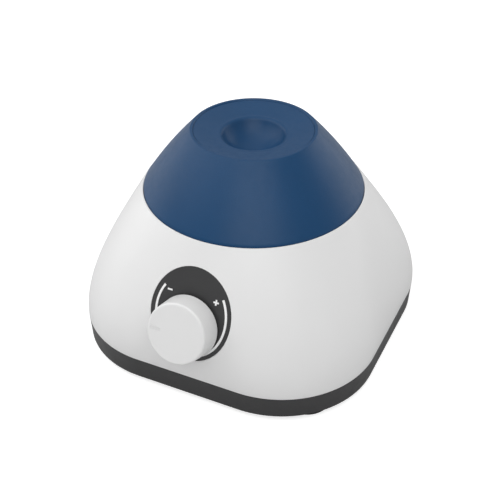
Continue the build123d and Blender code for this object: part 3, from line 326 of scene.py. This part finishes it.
def divided(outline, closed):
    """Divide the long runs of an outline so that its shading stays even."""
    fine = []
    last = len(outline) if closed else len(outline) - 1
    for k in range(last):
        a, b = outline[k], outline[(k + 1) % len(outline)]
        parts = max(1, math.ceil((b - a).length / LONGEST_RUN))
        fine.extend(a.lerp(b, step / parts) for step in range(parts))
    if not closed:
        fine.append(outline[-1])
    return fine


def finished(name, bm, slot_name):
    """Make a piece of a bmesh, with the finish of a material slot."""
    bmesh.ops.recalc_face_normals(bm, faces=bm.faces)
    mesh = bpy.data.meshes.new(name)
    bm.to_mesh(mesh)
    bm.free()
    mesh.materials.append(MATERIALS[slot_name])
    piece = bpy.data.objects.new(name, mesh)
    scene.collection.objects.link(piece)
    return piece


def turned(name, outline, closed, centre_at):
    """Turn an outline about an upright axis whose place may change with height."""
    points = divided(rounded(outline, closed), closed)
    bm = bmesh.new()
    rings = []
    for r, z in points:
        x, y = centre_at(z)
        if r < ON_AXIS:
            rings.append([bm.verts.new((x * MM, y * MM, z * MM))] * SEGMENTS)
            continue
        ring = []
        for k in range(SEGMENTS):
            a = 2 * math.pi * k / SEGMENTS
            place = ((x + r * math.cos(a)) * MM, (y + r * math.sin(a)) * MM, z * MM)
            ring.append(bm.verts.new(place))
        rings.append(ring)
    pairs = list(zip(rings, rings[1:] + rings[:1])) if closed else list(zip(rings, rings[1:]))
    for low, high in pairs:
        for k in range(SEGMENTS):
            j = (k + 1) % SEGMENTS
            corners = list(dict.fromkeys((low[k], low[j], high[j], high[k])))
            bm.faces.new(corners).smooth = True
    return finished(name, bm, "boot_silicone")


def share_at(z):
    """How far up the cone a height is, from 0 at the hem to 1 at the ridge."""
    a = HEM_TOP - 2 * SHOULDER_Z + RIDGE_Z
    b = 2 * (SHOULDER_Z - HEM_TOP)
    rise = min(max(z, HEM_TOP), RIDGE_Z) - HEM_TOP
    return (math.sqrt(b * b + 4 * a * rise) - b) / (2 * a)


def cone_r(z):
    """Radius of the cone's outer face at a height."""
    return curve3(HEM_R, SHOULDER_R, RIDGE_R, share_at(z))


def boot_mesh():
    """The boot: clamped hem, cone that leans to the cup's axis, and raised rim round the top."""
    outline = list(HEM_OUTLINE)
    for step in range(CONE_STEPS):
        t = step / CONE_STEPS
        r = curve3(HEM_R, SHOULDER_R, RIDGE_R, t)
        outline.append((r, curve3(HEM_TOP, SHOULDER_Z, RIDGE_Z, t), 0))
    outline += RIM_OUTLINE
    for step in range(INSIDE_STEPS + 1):
        z = INSIDE_TOP + (HEM_TOP - INSIDE_TOP) * step / INSIDE_STEPS
        outline.append((cone_r(z) - SKIN_T, z, 0))
    outline += HEM_INSIDE
    boot = turned("boot", outline, True, lambda z: CUP_OFFSET * share_at(z))
    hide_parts("boot_skirt")
    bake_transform(boot)


def pad_mesh():
    """The rubber pad: round cup, soft lip, flat top and the boss that plugs into the holder."""
    bowl_r = LIP_CREST_R / math.sin(BOWL_LEAN) - LIP_R
    bowl_z = LIP_CREST_Z - LIP_R + (bowl_r + LIP_R) * math.cos(BOWL_LEAN)
    outline = []
    for step in range(BOWL_STEPS):
        a = BOWL_LEAN * step / BOWL_STEPS
        outline.append((bowl_r * math.sin(a), bowl_z - bowl_r * math.cos(a), 0))
    for step in range(LIP_STEPS + 1):
        a = BOWL_LEAN * (1 - step / LIP_STEPS)
        r = LIP_CREST_R - LIP_R * math.sin(a)
        outline.append((r, LIP_CREST_Z - LIP_R + LIP_R * math.cos(a), 0))
    pad = turned("cup", outline + PAD_SIDE, False, lambda z: CUP_OFFSET)
    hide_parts("cup_pad")
    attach(pad, "cup_head")


boot_mesh()
pad_mesh()

# ---------------------------------------------------------------- press springs and motor leads
POSTS = 3
POST_RING = 26.0  # the springs' axes stand on this radius
SPRING_LOW, SPRING_TOP = 23.0, 35.7  # the faces that the springs stand between
SPRING_R, WIRE_R = 3.1, 0.35
END_GAP = 0.05  # clearance at each end of a spring
SPRING_TURNS = 6
TURN_STEPS, WIRE_SIDES = 32, 10


def spring_mesh():
    """Three wire springs between two faces, carried by the housing."""
    bm = bmesh.new()
    up = Vector((0, 0, 1))
    low = SPRING_LOW + WIRE_R + END_GAP
    tall = SPRING_TOP - WIRE_R - END_GAP - low
    steps = SPRING_TURNS * TURN_STEPS
    for post in range(POSTS):
        place = 2 * math.pi * post / POSTS
        foot = Vector((POST_RING * math.cos(place), POST_RING * math.sin(place), low))
        rings = []
        for k in range(steps + 1):
            turn = 2 * math.pi * k / TURN_STEPS
            out = Vector((math.cos(turn), math.sin(turn), 0))
            middle = foot + out * SPRING_R + up * tall * k / steps
            ring = []
            for side in range(WIRE_SIDES):
                a = 2 * math.pi * side / WIRE_SIDES
                away = (out * math.cos(a) + up * math.sin(a)) * WIRE_R
                ring.append(bm.verts.new((middle + away) * MM))
            rings.append(ring)
        for low_ring, high_ring in zip(rings, rings[1:]):
            for k in range(WIRE_SIDES):
                j = (k + 1) % WIRE_SIDES
                corners = (low_ring[k], low_ring[j], high_ring[j], high_ring[k])
                bm.faces.new(corners).smooth = True
        bm.faces.new(rings[0])
        bm.faces.new(rings[-1])
    springs = finished("springs", bm, "spring_steel")
    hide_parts("press_springs")
    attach(springs, "housing")
    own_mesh(springs)


def bending_lead(colour):
    """A copy of a motor lead's mesh, which takes the place of the lead's node."""
    node = f"motor_lead_{colour}"
    lead = bpy.data.objects.new(f"bending_lead_{colour}", frame["nodes"][node].data.copy())
    scene.collection.objects.link(lead)
    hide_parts(node)
    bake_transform(lead)


spring_mesh()
bending_lead("red")
bending_lead("black")

# ---------------------------------------------------------------- floor, light and camera
# Lengths from here on are in metres
CENTRE = Vector((0, 0, 0.03))
LAMP_SIZE = 0.7
LAMP_REACH = 0.9  # from the object to every lamp
LAMPS = {  # azimuth and elevation in degrees, power in watts
    "left_high": (-65, 50, 1.95),
    "left_low": (-95, 14, 1.4),
    "front_high": (25, 50, 2.7),
    "right_low": (145, 14, 1.7),
    "back_high": (205, 50, 0.6),
    "top": (0, 88, 0.9),
}
FILL_LEVEL = 0.45
FLOOR_SIZE = 6.0  # half the floor's width
FLOOR_WHITE = 205  # what the floor gives back to the object
FLOOR_LIFT = 0.7  # glow that only the camera sees, which keeps the floor near white
BRIGHT_FROM = 0.35  # beyond this radius the floor fades to the backdrop's white
BRIGHT_AT = 0.9


def direction(azimuth, elevation):
    """Unit vector from the object; azimuth 0 is -Y and 90 is +X, in degrees."""
    a, e = math.radians(azimuth), math.radians(elevation)
    return Vector((math.sin(a) * math.cos(e), -math.cos(a) * math.cos(e), math.sin(e)))


def soft_light(name, azimuth, elevation, watts):
    """A square area light that faces the object."""
    data = bpy.data.lights.new(name, "AREA")
    data.shape = "SQUARE"
    data.size = LAMP_SIZE
    data.energy = watts
    lamp = bpy.data.objects.new(name, data)
    scene.collection.objects.link(lamp)
    away = direction(azimuth, elevation)
    lamp.location = CENTRE + away * LAMP_REACH
    lamp.rotation_mode = "QUATERNION"
    lamp.rotation_quaternion = (-away).to_track_quat("-Z", "Y")
    lamp.visible_camera = False


def floor_sheet():
    """The plain pale floor, which fades to white far away."""
    bm = bmesh.new()
    bmesh.ops.create_grid(bm, x_segments=24, y_segments=24, size=FLOOR_SIZE)
    mesh = bpy.data.meshes.new("floor")
    bm.to_mesh(mesh)
    bm.free()
    sheet = bpy.data.objects.new("floor", mesh)
    scene.collection.objects.link(sheet)
    n = Nodes("floor_paper")
    radius = n.node("ShaderNodeVectorMath", {0: n.coords}, operation="LENGTH").outputs["Value"]
    far = n.remap(radius, 0.0, 1.0, (BRIGHT_FROM, BRIGHT_AT))
    pale = tint(FLOOR_WHITE, FLOOR_WHITE, FLOOR_WHITE)
    paper = n.mix(n.remap(n.noise(3, 2.0), 0.0, 1.0), shade(pale, 0.98), shade(pale, 1.01))
    n.set(Base_Color=n.mix(far, paper, (0, 0, 0, 1)), Roughness=0.9, Specular_IOR_Level=0.0)
    seen = n.node("ShaderNodeLightPath").outputs["Is Camera Ray"]
    near = n.node("ShaderNodeMath", {0: seen, 1: FLOOR_LIFT}, operation="MULTIPLY").outputs[0]
    glow = n.node("ShaderNodeMapRange", {"Value": far, "To Min": near, "To Max": 1.0}).outputs[0]
    n.set(Emission_Color=(1, 1, 1, 1), Emission_Strength=glow)
    mesh.materials.append(n.mat)


def studio_world():
    """Even fill light, with a white backdrop for the camera."""
    world = bpy.data.worlds.new("studio")
    scene.world = world
    world.use_nodes = True
    tree = world.node_tree
    fill = tree.nodes["Background"]
    fill.inputs["Color"].default_value = (1, 1, 1, 1)
    fill.inputs["Strength"].default_value = FILL_LEVEL
    white = tree.nodes.new("ShaderNodeBackground")
    white.inputs["Color"].default_value = (1, 1, 1, 1)
    rays = tree.nodes.new("ShaderNodeLightPath")
    pick = tree.nodes.new("ShaderNodeMixShader")
    tree.links.new(rays.outputs["Is Camera Ray"], pick.inputs["Fac"])
    tree.links.new(fill.outputs[0], pick.inputs[1])
    tree.links.new(white.outputs[0], pick.inputs[2])
    tree.links.new(pick.outputs[0], tree.nodes["World Output"].inputs["Surface"])


floor_sheet()
studio_world()
for lamp_name, (azimuth, elevation, watts) in LAMPS.items():
    soft_light(lamp_name, azimuth, elevation, watts)
scene.view_settings.view_transform = "Standard"

CAMERA_AZIMUTH, CAMERA_ELEVATION = 25.03, 35.67  # in degrees
CAMERA_DISTANCE = 0.3269
CAMERA_TARGET = Vector((0, 0, 0.02887))
camera_data = bpy.data.cameras.new("camera")
camera_data.sensor_width = 36.0
camera_data.lens = 70.0
camera_data.shift_x = -0.0077
camera_data.shift_y = -0.0205
camera_data.clip_start = 0.01
camera = bpy.data.objects.new("camera", camera_data)
scene.collection.objects.link(camera)
back = direction(CAMERA_AZIMUTH, CAMERA_ELEVATION)
camera.location = CAMERA_TARGET + back * CAMERA_DISTANCE
camera.rotation_mode = "QUATERNION"
camera.rotation_quaternion = (-back).to_track_quat("-Z", "Y")
scene.camera = camera
